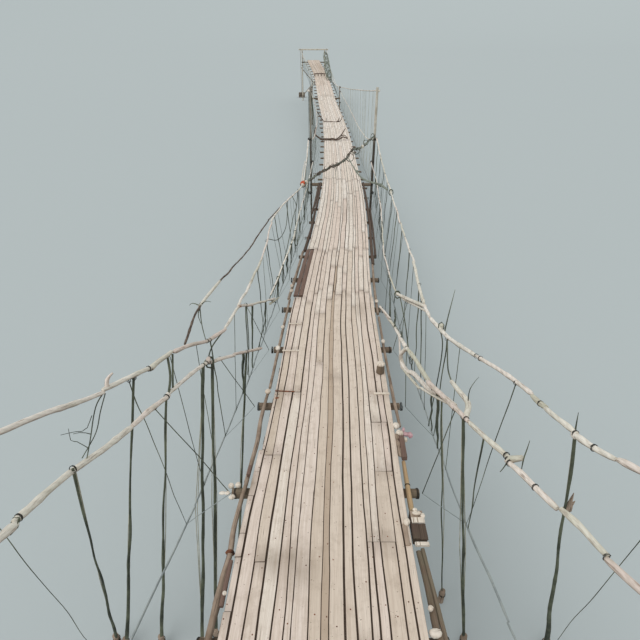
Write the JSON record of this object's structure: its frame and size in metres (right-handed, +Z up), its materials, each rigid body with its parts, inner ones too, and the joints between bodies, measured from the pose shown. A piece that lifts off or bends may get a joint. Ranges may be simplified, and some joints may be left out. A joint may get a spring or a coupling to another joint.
{
  "type": "1:10 scale model of a rope suspension footbridge",
  "caption": "Long sagging footbridge of lengthwise boards, hung by hangers from thick jointed side ropes between pole towers, masts and backstays.",
  "frame": {"origin": "on the ground, at the middle of the bridge's box", "axes": "+Y along the bridge from the near end to the far end, +X to the right, +Z up"},
  "size_m": [1, 12.64, 0.9827],
  "materials": {
    "deck_boards": "bleached rough sawn boards",
    "frame_timber": "dark weathered timber",
    "pole_timber": "grey peeled poles",
    "rope": "thick bleached laid rope",
    "dark_plank": "dark red-brown plank",
    "pale_timber": "pale cut end grain",
    "yellow_pole": "orange-yellow pole",
    "crib_timber": "log crib filled with stones"
  },
  "bodies": {
    "root": {"deck_section_1": "deck_boards", "deck_section_2": "deck_boards", "deck_section_3": "deck_boards", "deck_section_4": "deck_boards", "deck_section_5": "deck_boards", "deck_section_6": "deck_boards", "deck_section_7": "deck_boards", "left_edge_plank": "dark_plank", "under_frame_1": "frame_timber", "under_frame_2": "frame_timber", "under_frame_3": "frame_timber", "under_frame_4": "frame_timber", "under_frame_5": "frame_timber", "under_frame_6": "frame_timber", "left_ropes_near_span": "rope", "left_ropes_middle_span": "rope", "left_ropes_far_span": "rope", "right_ropes_near_span": "rope", "right_ropes_middle_span": "rope", "right_ropes_far_span": "rope", "crossing_tie": "rope", "near_tower_left_leg": "pole_timber", "near_tower_right_leg": "pole_timber", "near_tower_sill": "frame_timber", "near_tower_cap": "pole_timber", "near_tower_left_brace": "pole_timber", "near_tower_right_brace": "pole_timber", "first_mast_left_leg": "pole_timber", "first_mast_right_leg": "pole_timber", "first_mast_sill": "frame_timber", "second_mast_left_leg": "pole_timber", "second_mast_right_leg": "pole_timber", "second_mast_sill": "frame_timber", "far_tower_left_leg": "pole_timber", "far_tower_right_leg": "pole_timber", "far_tower_sill": "frame_timber", "far_tower_cap": "pole_timber", "far_tower_left_brace": "pole_timber", "far_tower_right_brace": "pole_timber", "near_left_anchor": "crib_timber", "near_right_anchor": "crib_timber", "far_left_anchor": "crib_timber", "far_right_anchor": "crib_timber", "near_left_backstay": "rope", "far_left_backstay": "rope", "near_right_backstay": "rope", "far_right_backstay": "rope", "left_side_pole": "pole_timber", "right_side_pole": "pole_timber", "yellow_pole": "yellow_pole", "right_edge_box": "dark_plank", "right_edge_post": "pale_timber"}
  },
  "joints": []
}
